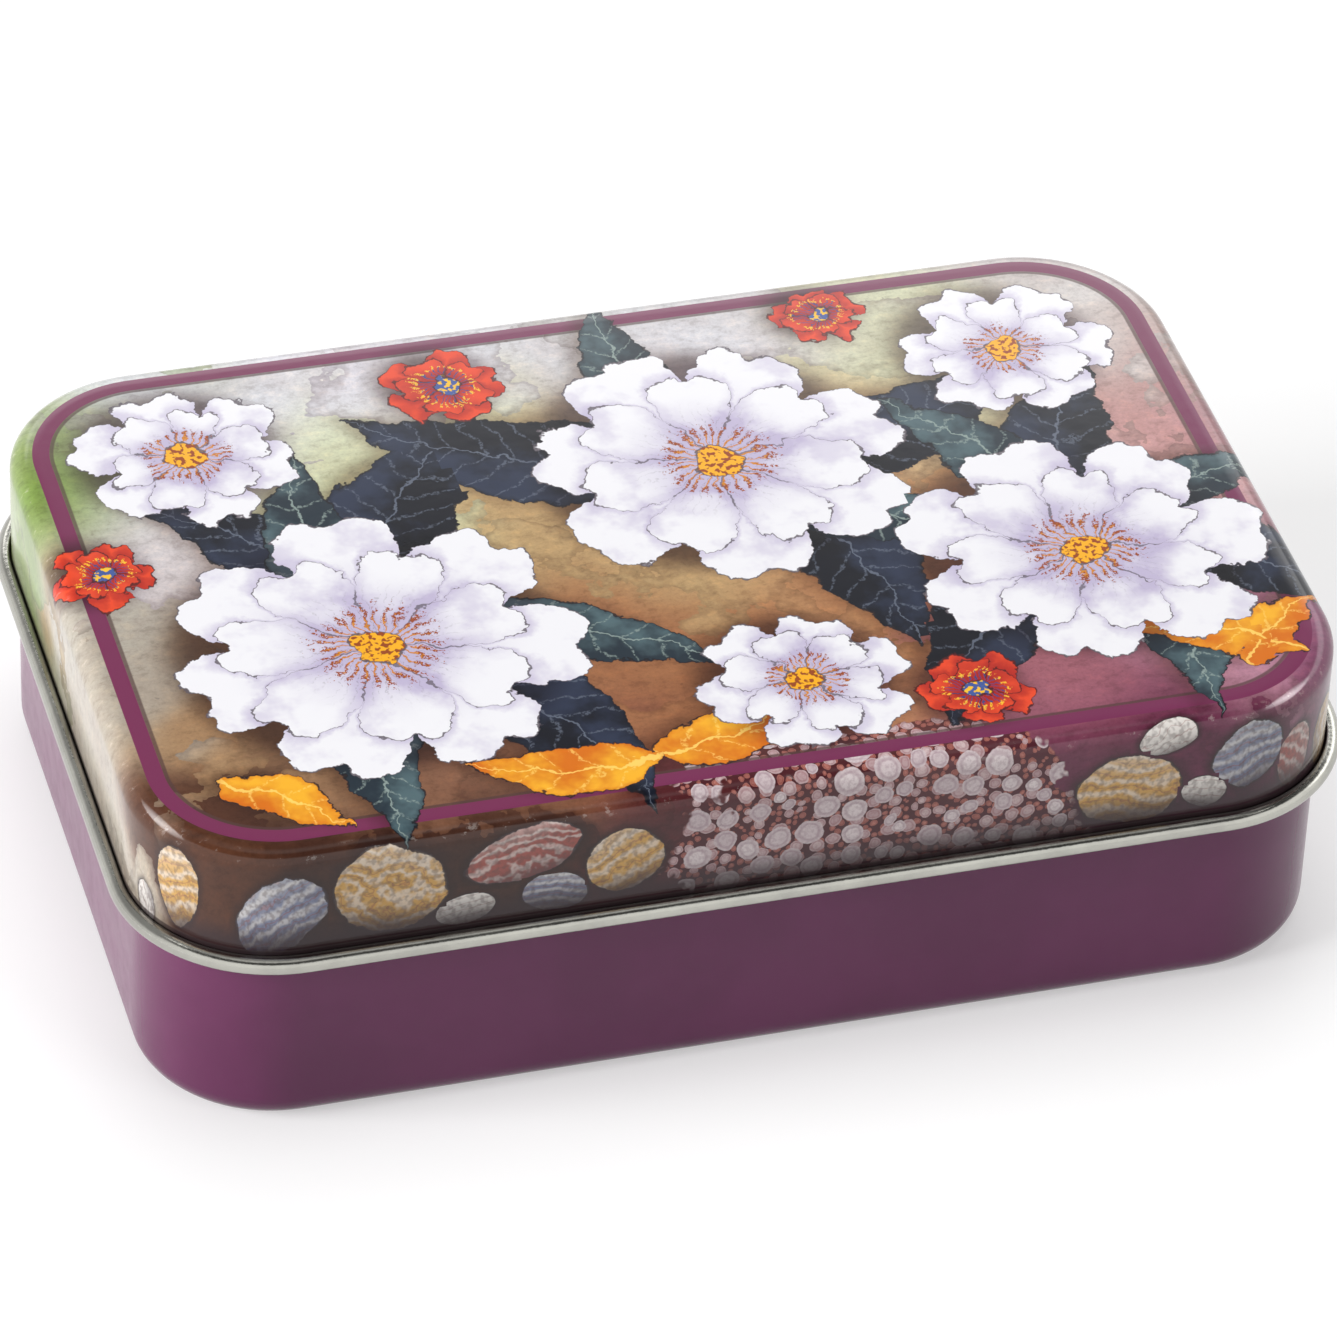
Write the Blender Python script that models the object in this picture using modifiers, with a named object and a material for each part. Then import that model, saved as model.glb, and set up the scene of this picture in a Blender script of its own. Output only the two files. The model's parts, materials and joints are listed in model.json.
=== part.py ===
"""Hinged metal tin: a drawn lid with a rolled curl, hooked on two tongues of a drawn tray.

Both pieces are sheet, so each is an open surface through the middle of the sheet, given its
thickness by Solidify. Lengths are metres, +Z is up, the hinge is at the rear, at +Y, and the
origin is at the middle of the closed case where it rests.
"""

import math

import bmesh
import bpy

# Sizes of the whole case
LENGTH = 0.0950               # over the curls at both ends
DEPTH = 0.0630                # over the front and rear curls
HEIGHT = 0.0260               # closed, from the foot to the top of the lid
CORNER_RADIUS = 0.0111        # in plan, outside the lid's skirt
SHEET = 0.00025               # tinplate, both pieces
FIT_GAP = 0.0003              # lid skirt to tray wall, and hook to curl

# Sizes of the lid
LID_EDGE_RADIUS = 0.0015      # outside, where the top turns into the skirt
SKIRT_DEPTH = 0.0106          # from the top of the lid to the underside of the curl
CURL_DIAMETER = 0.00145       # outside of the rolled edge
CURL_SWEEP = math.radians(285)

# Sizes of the tray
TRAY_EDGE_RADIUS = 0.0022     # outside, where the wall turns into the floor
FOOT_WIDTH = 0.0028           # flat ring that the case stands on
PANEL_SLOPE_WIDTH = 0.0012    # from the foot up to the floor's panel
PANEL_RISE = 0.0005           # the panel's underside above the foot
ROLL_DIAMETER = 0.0012        # outside of the safe edge, rolled inwards round the mouth
ROLL_SWEEP = math.radians(285)
SWING_GAP = 0.00006           # left between the front skirt and the rim as the lid swings

# Sizes of the hinge
TONGUE_WIDTH = 0.0080
TONGUE_SPACING = 0.0440       # middle to middle
TONGUE_SLIT = 0.0003          # cut beside each tongue in the tray's wall
HOOK_PLAY = 0.00016           # flat on top of the hook, which sets its outer side back
HOOK_TAIL = math.radians(60)  # how far the hook reaches under the curl
ROOT_LAP = 0.0006             # length of tongue drawn inside the wall that carries it
WINDOW_SIDE_GAP = 0.0004      # beside the tongue in the lid's skirt
WINDOW_SILL = 0.0002          # lower edge of the window above the hinge's axis
STOP_GAP = 0.00005            # window to hook when the lid stands fully open

# How finely round stretches are divided
CORNER_STEPS = 12
EDGE_STEPS = 5
ROLL_STEPS = 13
HOOK_STEPS = 7
SLOPE_STEPS = 4

OVERRUN = 0.001               # how far a cutter runs past what it cuts
MERGE = 0.000001              # points nearer than this are one point

# Sizes that follow from those above, with sheet surfaces taken at the middle of the sheet
HALF_SHEET = SHEET / 2
CURL_RADIUS = CURL_DIAMETER / 2 - HALF_SHEET
LID_HALF_LENGTH = LENGTH / 2 - 2 * CURL_RADIUS - HALF_SHEET
LID_HALF_DEPTH = DEPTH / 2 - 2 * CURL_RADIUS - HALF_SHEET
LID_CORNER = CORNER_RADIUS - HALF_SHEET
NEST = SHEET + FIT_GAP
TRAY_HALF_LENGTH = LID_HALF_LENGTH - NEST
TRAY_HALF_DEPTH = LID_HALF_DEPTH - NEST
TRAY_CORNER = LID_CORNER - NEST
HINGE_Y = LID_HALF_DEPTH + CURL_RADIUS
HINGE_Z = HEIGHT - SKIRT_DEPTH + CURL_DIAMETER / 2
SKIRT_FACE_TO_HINGE = CURL_RADIUS - HALF_SHEET
HOOK_RADIUS = CURL_DIAMETER / 2 + FIT_GAP + HALF_SHEET

# The rim is as high as the front skirt can swing over: a point that starts z above the axis
# and comes round to the rim has moved back by rise * rise / (2 * reach) on its way
SWING_REACH = HINGE_Y + TRAY_HALF_DEPTH
RIM_RISE = math.sqrt(2 * SWING_REACH * (FIT_GAP - SWING_GAP))
RIM_HEIGHT = HINGE_Z + RIM_RISE

# The window's upper edge comes down on the hook's outer side and stops the lid
WINDOW_HEAD_RADIUS = HOOK_RADIUS + HALF_SHEET + HOOK_PLAY + STOP_GAP
WINDOW_HEAD = math.sqrt(WINDOW_HEAD_RADIUS ** 2 - SKIRT_FACE_TO_HINGE ** 2)


def collection(name):
    """A new collection, linked to the scene."""
    made = bpy.data.collections.new(name)
    bpy.context.scene.collection.children.link(made)
    return made


def material(name, color, metallic, roughness):
    """A Principled material with one colour."""
    made = bpy.data.materials.new(name)
    made.use_nodes = True
    shader = made.node_tree.nodes["Principled BSDF"]
    shader.inputs["Base Color"].default_value = (*color, 1)
    shader.inputs["Metallic"].default_value = metallic
    shader.inputs["Roughness"].default_value = roughness
    return made


def arc(out, up, radius, start, end, steps):
    """Points (out, up) round a centre, from one angle to another, 0 pointing out of the case."""
    angles = [start + (end - start) * step / steps for step in range(steps + 1)]
    return [(out + radius * math.cos(a), up + radius * math.sin(a)) for a in angles]


def lid_section():
    """The lid's sheet from its top, over the edge, down the skirt and round the curl."""
    top = HEIGHT - HALF_SHEET
    edge = LID_EDGE_RADIUS - HALF_SHEET
    section = [(-LID_CORNER, top)]
    section += arc(-edge, top - edge, edge, math.pi / 2, 0, EDGE_STEPS)
    section += arc(CURL_RADIUS, HINGE_Z, CURL_RADIUS, math.pi, math.pi + CURL_SWEEP, ROLL_STEPS)
    return section


def tray_section():
    """The tray's sheet from its raised panel, over the foot, up the wall and round the rim."""
    foot = HALF_SHEET
    edge = TRAY_EDGE_RADIUS - HALF_SHEET
    roll = ROLL_DIAMETER / 2 - HALF_SHEET
    section = [(-TRAY_CORNER, foot + PANEL_RISE)]
    for step in range(SLOPE_STEPS + 1):
        share = step / SLOPE_STEPS
        out = -edge - FOOT_WIDTH - PANEL_SLOPE_WIDTH * (1 - share)
        section.append((out, foot + PANEL_RISE * (1 + math.cos(math.pi * share)) / 2))
    section += arc(-edge, foot + edge, edge, -math.pi / 2, 0, EDGE_STEPS)
    section += arc(-roll, RIM_HEIGHT - ROLL_DIAMETER / 2, roll, 0, ROLL_SWEEP, ROLL_STEPS)
    return section


def extrude(mesh, edges, vector):
    """Extrude edges along a vector and return the new points."""
    made = bmesh.ops.extrude_edge_only(mesh, edges=edges)["geom"]
    points = [item for item in made if isinstance(item, bmesh.types.BMVert)]
    bmesh.ops.translate(mesh, verts=points, vec=vector)
    return points


def drawn_shell(name, section, half_length, half_depth, corner):
    """A drawn sheet shell: its section turned round one plan corner, run on to the middle
    planes, mirrored over both of them and thickened."""
    centre_x = half_length - corner
    centre_y = half_depth - corner
    mesh = bmesh.new()
    points = [mesh.verts.new((half_length + out, centre_y, up)) for out, up in section]
    first = [mesh.edges.new(pair) for pair in zip(points, points[1:])]
    turned = bmesh.ops.spin(mesh, geom=points + first, cent=(centre_x, centre_y, 0),
                            axis=(0, 0, 1), angle=math.pi / 2, steps=CORNER_STEPS)
    last = [item for item in turned["geom_last"] if isinstance(item, bmesh.types.BMEdge)]
    extrude(mesh, first, (0, -centre_y, 0))
    extrude(mesh, last, (-centre_x, 0, 0))
    bmesh.ops.remove_doubles(mesh, verts=mesh.verts, dist=MERGE)
    panel_height = section[0][1]
    panel_side = [edge for edge in mesh.edges
                  if all(abs(v.co.y - centre_y) < MERGE and v.co.x < centre_x + MERGE
                         and abs(v.co.z - panel_height) < MERGE for v in edge.verts)]
    extrude(mesh, panel_side, (0, -centre_y, 0))
    bmesh.ops.remove_doubles(mesh, verts=mesh.verts, dist=MERGE)
    bmesh.ops.recalc_face_normals(mesh, faces=mesh.faces)
    shell = mesh_object(name, mesh, parts)
    mirror = shell.modifiers.new("both middle planes", "MIRROR")
    mirror.use_axis = (True, True, False)
    mirror.merge_threshold = MERGE
    thicken(shell)
    return shell


def mesh_object(name, mesh, owner):
    """An object made from a bmesh, shaded smooth, in the collection that owns it."""
    data = bpy.data.meshes.new(name)
    mesh.to_mesh(data)
    mesh.free()
    data.shade_smooth()
    data.set_sharp_from_angle(angle=math.radians(40))
    made = bpy.data.objects.new(name, data)
    owner.objects.link(made)
    return made


def thicken(piece):
    """Give a surface through the middle of the sheet the sheet's thickness."""
    solidify = piece.modifiers.new("sheet", "SOLIDIFY")
    solidify.thickness = SHEET
    solidify.offset = 0
    solidify.use_even_offset = True


def hide(piece):
    """Show a cutter or a joined piece as wire, and leave it out of renders."""
    piece.hide_render = True
    piece.display_type = "WIRE"


def combine(piece, other, operation):
    """Cut the other piece out of a piece, or join it on, with a Boolean."""
    boolean = piece.modifiers.new(other.name, "BOOLEAN")
    boolean.operation = operation
    boolean.object = other
    boolean.solver = "EXACT"


def box_cutter(name, low, high):
    """A box between two corners, in the cutters' collection."""
    mesh = bmesh.new()
    bmesh.ops.create_cube(mesh, size=1)
    size = [b - a for a, b in zip(low, high)]
    middle = [(a + b) / 2 for a, b in zip(low, high)]
    bmesh.ops.scale(mesh, vec=size, verts=mesh.verts)
    made = mesh_object(name, mesh, cutters)
    made.location = middle
    hide(made)
    return made


def window_cutter(name, centre_x):
    """The window in the lid's rear skirt that a tongue passes through."""
    half = TONGUE_WIDTH / 2 + WINDOW_SIDE_GAP
    inside = LID_HALF_DEPTH - HALF_SHEET - FIT_GAP / 2
    outside = LID_HALF_DEPTH + HALF_SHEET + FIT_GAP / 2
    low = (centre_x - half, inside, HINGE_Z + WINDOW_SILL)
    high = (centre_x + half, outside, HINGE_Z + WINDOW_HEAD)
    return box_cutter(name, low, high)


def notch_cutter(name, centre_x):
    """The notch that a tongue leaves in the tray's rear wall and rim, down to the axis."""
    half = TONGUE_WIDTH / 2 + TONGUE_SLIT
    low = (centre_x - half, TRAY_HALF_DEPTH - ROLL_DIAMETER - OVERRUN, HINGE_Z)
    high = (centre_x + half, TRAY_HALF_DEPTH + OVERRUN, RIM_HEIGHT + OVERRUN)
    return box_cutter(name, low, high)


def tongue(name, centre_x):
    """A strip of the tray's wall, bent out over the lid's curl into a hook."""
    quarter = math.pi / 2
    path = [(TRAY_HALF_DEPTH, HINGE_Z - ROOT_LAP)]
    path += arc(HINGE_Y, HINGE_Z, HOOK_RADIUS, math.pi, quarter, HOOK_STEPS)
    path += arc(HINGE_Y + HOOK_PLAY, HINGE_Z, HOOK_RADIUS, quarter, -HOOK_TAIL, 2 * HOOK_STEPS)
    mesh = bmesh.new()
    points = [mesh.verts.new((centre_x - TONGUE_WIDTH / 2, y, z)) for y, z in path]
    edges = [mesh.edges.new(pair) for pair in zip(points, points[1:])]
    extrude(mesh, edges, (TONGUE_WIDTH, 0, 0))
    made = mesh_object(name, mesh, cutters)
    thicken(made)
    hide(made)
    return made


def make_lid():
    """The lid, with a window for each tongue, carried by an empty on the hinge's axis."""
    lid = drawn_shell("lid", lid_section(), LID_HALF_LENGTH, LID_HALF_DEPTH, LID_CORNER)
    lid.data.materials.append(material("printed tinplate", (0.55, 0.47, 0.44), 0.0, 0.3))
    for side, x in tongue_places():
        window = window_cutter("window_" + side, x)
        window.parent = lid
        combine(lid, window, "DIFFERENCE")
    axis = bpy.data.objects.new("hinge_axis", None)
    parts.objects.link(axis)
    axis.location = (0, HINGE_Y, HINGE_Z)
    lid.parent = axis
    lid.location = (0, -HINGE_Y, -HINGE_Z)
    return lid


def make_tray():
    """The tray, notched at the rear and joined to its two tongues."""
    tray = drawn_shell("tray", tray_section(), TRAY_HALF_LENGTH, TRAY_HALF_DEPTH, TRAY_CORNER)
    tray.data.materials.append(material("purple lacquer", (0.09, 0.034, 0.066), 0.0, 0.25))
    for side, x in tongue_places():
        combine(tray, notch_cutter("notch_" + side, x), "DIFFERENCE")
        combine(tray, tongue("tongue_" + side, x), "UNION")
    return tray


def tongue_places():
    """The side's name and the middle of each tongue along X."""
    return [("left", -TONGUE_SPACING / 2), ("right", TONGUE_SPACING / 2)]


for leftover in list(bpy.data.objects):
    bpy.data.objects.remove(leftover)
parts = collection("hinged_metal_tin")
cutters = collection("cutters")
make_tray()
make_lid()
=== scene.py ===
"""Hinged metal tin: the finish of its two drawn tinplate shells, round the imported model."""

import json
import math

import bpy
import numpy as np
from mathutils import Matrix, Vector


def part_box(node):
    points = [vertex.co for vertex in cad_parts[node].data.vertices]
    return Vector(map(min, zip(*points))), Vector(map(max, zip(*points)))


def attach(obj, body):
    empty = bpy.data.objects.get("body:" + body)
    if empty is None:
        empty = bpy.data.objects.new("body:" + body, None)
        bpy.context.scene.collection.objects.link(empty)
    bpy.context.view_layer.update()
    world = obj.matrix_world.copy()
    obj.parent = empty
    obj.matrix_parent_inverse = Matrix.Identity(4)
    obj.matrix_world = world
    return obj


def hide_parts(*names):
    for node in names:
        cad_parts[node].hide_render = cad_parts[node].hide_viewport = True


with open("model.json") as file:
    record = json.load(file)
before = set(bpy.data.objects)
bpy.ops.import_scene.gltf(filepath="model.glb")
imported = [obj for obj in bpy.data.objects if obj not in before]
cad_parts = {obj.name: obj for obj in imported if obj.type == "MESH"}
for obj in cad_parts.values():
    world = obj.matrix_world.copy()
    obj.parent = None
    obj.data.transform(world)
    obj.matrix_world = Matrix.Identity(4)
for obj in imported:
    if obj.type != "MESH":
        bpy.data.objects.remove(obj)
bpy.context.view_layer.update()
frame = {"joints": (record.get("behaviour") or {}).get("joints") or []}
MM = 0.001

# Camera
# The photograph looks down on the closed case from the front and a little to its left, through
# a long lens held slightly tilted. Its focal length is given in pixels of a 1337 pixel frame.
VIEW_AZIMUTH = math.radians(-17.3)
VIEW_ELEVATION = math.radians(38.2)
VIEW_TILT = math.radians(2.58)
VIEW_DISTANCE = 0.6105
AIM = Vector((0.0019, 0.0039, 0.0100))
FRAME_PIXELS = 1337
FOCAL_PIXELS = 7892
SENSOR_WIDTH = 36


def linked(name, data):
    """An object with its data, put into the scene."""
    made = bpy.data.objects.new(name, data)
    bpy.context.scene.collection.objects.link(made)
    return made


outward = Vector((
    math.sin(VIEW_AZIMUTH) * math.cos(VIEW_ELEVATION),
    -math.cos(VIEW_AZIMUTH) * math.cos(VIEW_ELEVATION),
    math.sin(VIEW_ELEVATION),
))
camera = linked("camera", bpy.data.cameras.new("camera"))
turn = outward.to_track_quat("Z", "Y").to_matrix() @ Matrix.Rotation(VIEW_TILT, 3, "Z")
camera.matrix_world = Matrix.Translation(AIM + outward * VIEW_DISTANCE) @ turn.to_4x4()
camera.data.sensor_width = SENSOR_WIDTH
camera.data.lens = SENSOR_WIDTH * FOCAL_PIXELS / FRAME_PIXELS
bpy.context.scene.camera = camera

# Tray
# The lower shell, drawn from one tinplate sheet and lacquered purple outside. Its mouth is
# rolled inwards, and two tongues of its rear wall are bent out over the lid's curl as the hinge.
SHEET = 0.25 * MM
FIT_GAP = 0.3 * MM
CORNER_RADIUS = 11.1 * MM         # in plan, outside the lid's skirt
TRAY_EDGE_RADIUS = 2.2 * MM
FOOT_WIDTH = 2.8 * MM
PANEL_SLOPE_WIDTH = 1.2 * MM
PANEL_RISE = 0.5 * MM
ROLL_DIAMETER = 1.2 * MM
ROLL_SWEEP = math.radians(285)
CURL_DIAMETER = 1.45 * MM
TONGUE_WIDTH = 8 * MM
TONGUE_SPACING = 44 * MM
TONGUE_SLIT = 0.3 * MM
HOOK_PLAY = 0.16 * MM
HOOK_TAIL = math.radians(60)
LACQUER_TOP = 17.4 * MM           # above it the wall is bare, under the lid
TRAY_SPACING = 0.9 * MM           # between the mesh's points round the plan
WALL_SPACING = 1.5 * MM           # and up the wall
SLOPE_STEPS = 8
BEND_STEPS = 10
ROLL_STEPS = 18
HOOK_RISE_STEPS = 7
HOOK_WRAP_STEPS = 14

# Its finishes. Colours are given as they show on a screen, and the scale of a noise pattern is
# its waves to the millimetre.
LACQUER_COLORS = ((97, 35, 78), (105, 40, 85))
LACQUER_GLOSS = 0.38
LACQUER_ROUGHNESS = (0.17, 0.25)
MOTTLE_SCALE = 0.11
HAZE_SCALE = 0.5
PEEL_SCALE = 1.4
PEEL_STRENGTH = 0.06
PEEL_DEPTH = 0.02 * MM
TIN_COLORS = ((169, 168, 161), (185, 184, 176))
TIN_ROUGHNESS = (0.16, 0.19)
CLOUD_SCALE = 0.22
ROLLING_SCALE = (0.06, 5, 5)
ROLLING_ROUGHNESS = (-0.02, 0.04)
ROLLING_RELIEF = 0.1              # of the dimples' depth
DIMPLE_SCALE = 2.6
DIMPLE_STRENGTH = 0.7
DIMPLE_DEPTH = 0.016 * MM
NOISE_MIDDLE = (0.3, 0.7)         # most of a noise pattern lies between these

tray_low, tray_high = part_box("tray")
hinge_y, hinge_z = frame["joints"][0]["pos_m"][1:]
tray_corner = CORNER_RADIUS - SHEET / 2 - SHEET - FIT_GAP
tray_half = (tray_high.x - SHEET / 2, -tray_low.y - SHEET / 2)


def lines(stops, spacing):
    """Places from the first stop to the last, with every stop among them and even steps no
    longer than the spacing between two stops."""
    parts = [np.linspace(a, b, max(1, math.ceil((b - a) / spacing - 1e-6)) + 1)[:-1]
             for a, b in zip(stops, stops[1:])]
    return np.append(np.concatenate(parts), stops[-1])


def rounded_plan(x_lines, y_lines, half, radius):
    """A grid over a rectangle, bent to round corners. In each corner's square a point at
    (s, t) from the corner's centre goes to the distance max(s, t) and to the angle
    45 * t / s degrees where s is larger, or 90 - 45 * s / t where t is."""
    x, y = np.meshgrid(x_lines, y_lines, indexing="ij")
    core_x = np.clip(x, radius - half[0], half[0] - radius)
    core_y = np.clip(y, radius - half[1], half[1] - radius)
    s, t = np.abs(x - core_x), np.abs(y - core_y)
    far = np.maximum(s, t)
    share = np.minimum(s, t) / np.where(far > 0, far, 1)
    angle = math.pi / 4 * np.where(s >= t, share, 2 - share)
    return np.stack([core_x + np.sign(x - core_x) * far * np.cos(angle),
                     core_y + np.sign(y - core_y) * far * np.sin(angle)], -1)


def plan_grid(half, radius, sides, spacing):
    """The rounded plan with lines where its corners start and, on the left and the right, at
    each of the sides."""
    x_stops, y_stops = [*sides, half[0] - radius, half[0]], [half[1] - radius, half[1]]
    return rounded_plan(*(lines([-stop for stop in reversed(stops)] + stops, spacing)
                          for stops in (x_stops, y_stops)), half, radius)


def border(grid):
    """The grid's outer points, anticlockwise from its corner at +X and -Y."""
    return np.concatenate([grid[-1, :-1], grid[:0:-1, -1], grid[0, :0:-1], grid[:-1, 0]])


def plan_normals(points, half, radius):
    """The core point that each border point is rounded about, and the way out from it."""
    limit = np.array(half) - radius
    core = np.clip(points, -limit, limit)
    out = points - core
    return core, out / np.linalg.norm(out, axis=1, keepdims=True)


def by_tongue(ring, rear, reach):
    """Which of a ring's edges have their middle at the rear and nearer to the middle of a
    tongue than the reach."""
    middle = (ring + np.roll(ring, -1, 0)) / 2
    from_tongue = np.abs(np.abs(middle[:, 0]) - TONGUE_SPACING / 2)
    return (middle[:, 1] > rear - SHEET) & (from_tongue < reach)


def arc(out, up, radius, start, end, steps):
    """Points (out, up) round a centre, evenly from one angle to another."""
    angle = np.linspace(start, end, steps + 1)
    return np.stack([out + radius * np.cos(angle), up + radius * np.sin(angle)], -1)


def swept(section, core, normals, radius):
    """The section carried round the plan: each of its points, out from the wall and up,
    stands at the core point plus (radius + out) along the way out. One row for each."""
    reach = (radius + section[:, 0])[:, None, None]
    flat = core[None] + normals[None] * reach
    up = np.broadcast_to(section[:, 1][:, None, None], flat.shape[:2] + (1,))
    return np.concatenate([flat, up], -1)


def ring_faces(rows, columns, first=0):
    """Quads between neighbouring rows of a closed ring, shaped (rows - 1, columns, 4)."""
    row, column = np.meshgrid(np.arange(rows - 1), np.arange(columns), indexing="ij")
    beside = (column + 1) % columns
    return first + np.stack([row * columns + column, row * columns + beside,
                             (row + 1) * columns + beside, (row + 1) * columns + column], -1)


def shell_piece(name, points, faces, slots, materials, body, node):
    """A smooth shaded piece from a surface through the middle of its sheet, given the
    sheet's thickness. Inner faces take the material after their outer ones."""
    data = bpy.data.meshes.new(name)
    data.from_pydata(points.tolist(), [], faces)
    data.polygons.foreach_set("material_index", slots)
    for made in materials:
        data.materials.append(made)
    data.shade_smooth()
    piece = linked(name, data)
    solidify = piece.modifiers.new("sheet", "SOLIDIFY")
    solidify.thickness = SHEET
    solidify.offset = 0
    solidify.use_even_offset = True
    solidify.material_offset = 1
    solidify.material_offset_rim = 1
    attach(piece, body)
    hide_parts(node)
    return piece


def put(tree, kind, inputs=None, **settings):
    """A node with its settings made and its inputs set to values or linked to sockets."""
    made = tree.nodes.new(kind)
    for key, value in settings.items():
        setattr(made, key, value)
    for key, value in (inputs or {}).items():
        if isinstance(value, bpy.types.NodeSocket):
            tree.links.new(value, made.inputs[key])
        else:
            made.inputs[key].default_value = value
    return made


def calc(tree, operation, a, b=0, c=0):
    """The result of a Math node."""
    return put(tree, "ShaderNodeMath", {0: a, 1: b, 2: c}, operation=operation).outputs[0]


def ramp(tree, value, low, high, at_low=0, at_high=1):
    """A value eased from one end to the other while it goes from low to high."""
    made = put(tree, "ShaderNodeMapRange", {0: value, 1: low, 2: high, 3: at_low, 4: at_high},
               interpolation_type="SMOOTHSTEP")
    return made.outputs[0]


def mix(tree, factor, a, b, blend="MIX"):
    """Two colours mixed by a factor."""
    made = put(tree, "ShaderNodeMix", {0: factor, 6: a, 7: b}, data_type="RGBA",
               blend_type=blend)
    return made.outputs[2]


def noise(tree, where, scale, detail=4, roughness=0.5, dimensions="3D", output=0):
    """The height or colour of a noise pattern, about 0.5 on average."""
    made = put(tree, "ShaderNodeTexNoise", {"Vector": where, "Scale": scale, "Detail": detail,
                                           "Roughness": roughness}, noise_dimensions=dimensions)
    return made.outputs[output]


def rgb(red, green, blue):
    """A colour given as it shows on a screen, from 0 to 255, as the shaders take it."""
    values = np.array([red, green, blue]) / 255
    linear = np.where(values < 0.04045, values / 12.92, ((values + 0.055) / 1.055) ** 2.4)
    return (*linear.tolist(), 1)


def new_finish(name, inputs):
    """A material, its node tree and its Principled shader with some inputs set."""
    made = bpy.data.materials.new(name)
    made.use_nodes = True
    shader = made.node_tree.nodes["Principled BSDF"]
    for key, value in inputs.items():
        shader.inputs[key].default_value = value
    return made, made.node_tree, shader


def object_place(tree):
    """Object coordinates in millimetres."""
    place = put(tree, "ShaderNodeTexCoord").outputs["Object"]
    return put(tree, "ShaderNodeVectorMath", {0: place, 3: 1 / MM}, operation="SCALE").outputs[0]


def two_tones(tree, pattern, colors):
    """The first colour at the lows of a noise pattern, eased to the second at its highs."""
    return mix(tree, ramp(tree, pattern, *NOISE_MIDDLE), rgb(*colors[0]), rgb(*colors[1]))


def relief(tree, shader, pattern, strength, depth):
    """Raises the shader's surface by a pattern, through a Bump node."""
    bump = put(tree, "ShaderNodeBump", {"Height": pattern, "Strength": strength,
                                        "Distance": depth})
    tree.links.new(bump.outputs[0], shader.inputs["Normal"])
    return bump.outputs[0]


def purple_lacquer():
    """Gloss lacquer with a slight mottle and an orange-peel skin."""
    made, tree, shader = new_finish("purple_lacquer", {"Specular IOR Level": LACQUER_GLOSS})
    place = object_place(tree)
    color = two_tones(tree, noise(tree, place, MOTTLE_SCALE, 3), LACQUER_COLORS)
    tree.links.new(color, shader.inputs["Base Color"])
    haze = noise(tree, place, HAZE_SCALE, 5, 0.6)
    tree.links.new(ramp(tree, haze, 0.2, 0.8, *LACQUER_ROUGHNESS), shader.inputs["Roughness"])
    relief(tree, shader, noise(tree, place, PEEL_SCALE, 2), PEEL_STRENGTH, PEEL_DEPTH)
    return made


def bare_tinplate():
    """Bright tinplate: cloudy tin, fine rolling lines along X and shallow dimples."""
    made, tree, shader = new_finish("bare_tinplate", {"Metallic": 1})
    place = object_place(tree)
    cloud = noise(tree, place, CLOUD_SCALE, 5, 0.6)
    tree.links.new(two_tones(tree, cloud, TIN_COLORS), shader.inputs["Base Color"])
    along = put(tree, "ShaderNodeMapping", {"Vector": place, "Scale": ROLLING_SCALE}).outputs[0]
    rolling = noise(tree, along, 1, 3, 0.6)
    rough = calc(tree, "ADD", ramp(tree, cloud, *NOISE_MIDDLE, *TIN_ROUGHNESS),
                 ramp(tree, rolling, 0.35, 0.65, *ROLLING_ROUGHNESS))
    tree.links.new(rough, shader.inputs["Roughness"])
    pattern = calc(tree, "MULTIPLY_ADD", rolling, ROLLING_RELIEF,
                   noise(tree, place, DIMPLE_SCALE, 2))
    relief(tree, shader, pattern, DIMPLE_STRENGTH, DIMPLE_DEPTH)
    return made


def tray_rows():
    """The tray's section, out from the wall and up, and the row on the hinge's axis."""
    foot, edge = SHEET / 2, TRAY_EDGE_RADIUS - SHEET / 2
    roll = ROLL_DIAMETER / 2 - SHEET / 2
    share = np.linspace(0, 1, SLOPE_STEPS + 1)
    slope_out = -edge - FOOT_WIDTH - PANEL_SLOPE_WIDTH * (1 - share)
    slope = np.stack([slope_out, foot + PANEL_RISE * (1 + np.cos(math.pi * share)) / 2], -1)
    inside = slope[:1] - [[FOOT_WIDTH / 4, 0]]
    bend = arc(-edge, foot + edge, edge, -math.pi / 2, 0, BEND_STEPS)
    roll_z = tray_high.z - ROLL_DIAMETER / 2
    heights = lines([bend[-1, 1], hinge_z, LACQUER_TOP, roll_z], WALL_SPACING)[1:-1]
    wall = np.stack([np.zeros_like(heights), heights], -1)
    mouth = arc(-roll, roll_z, roll, 0, ROLL_SWEEP, ROLL_STEPS)
    section = np.concatenate([inside, slope, bend, wall, mouth])
    return section, len(inside) + len(slope) + len(bend) + int(np.argmin(abs(heights - hinge_z)))


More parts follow.
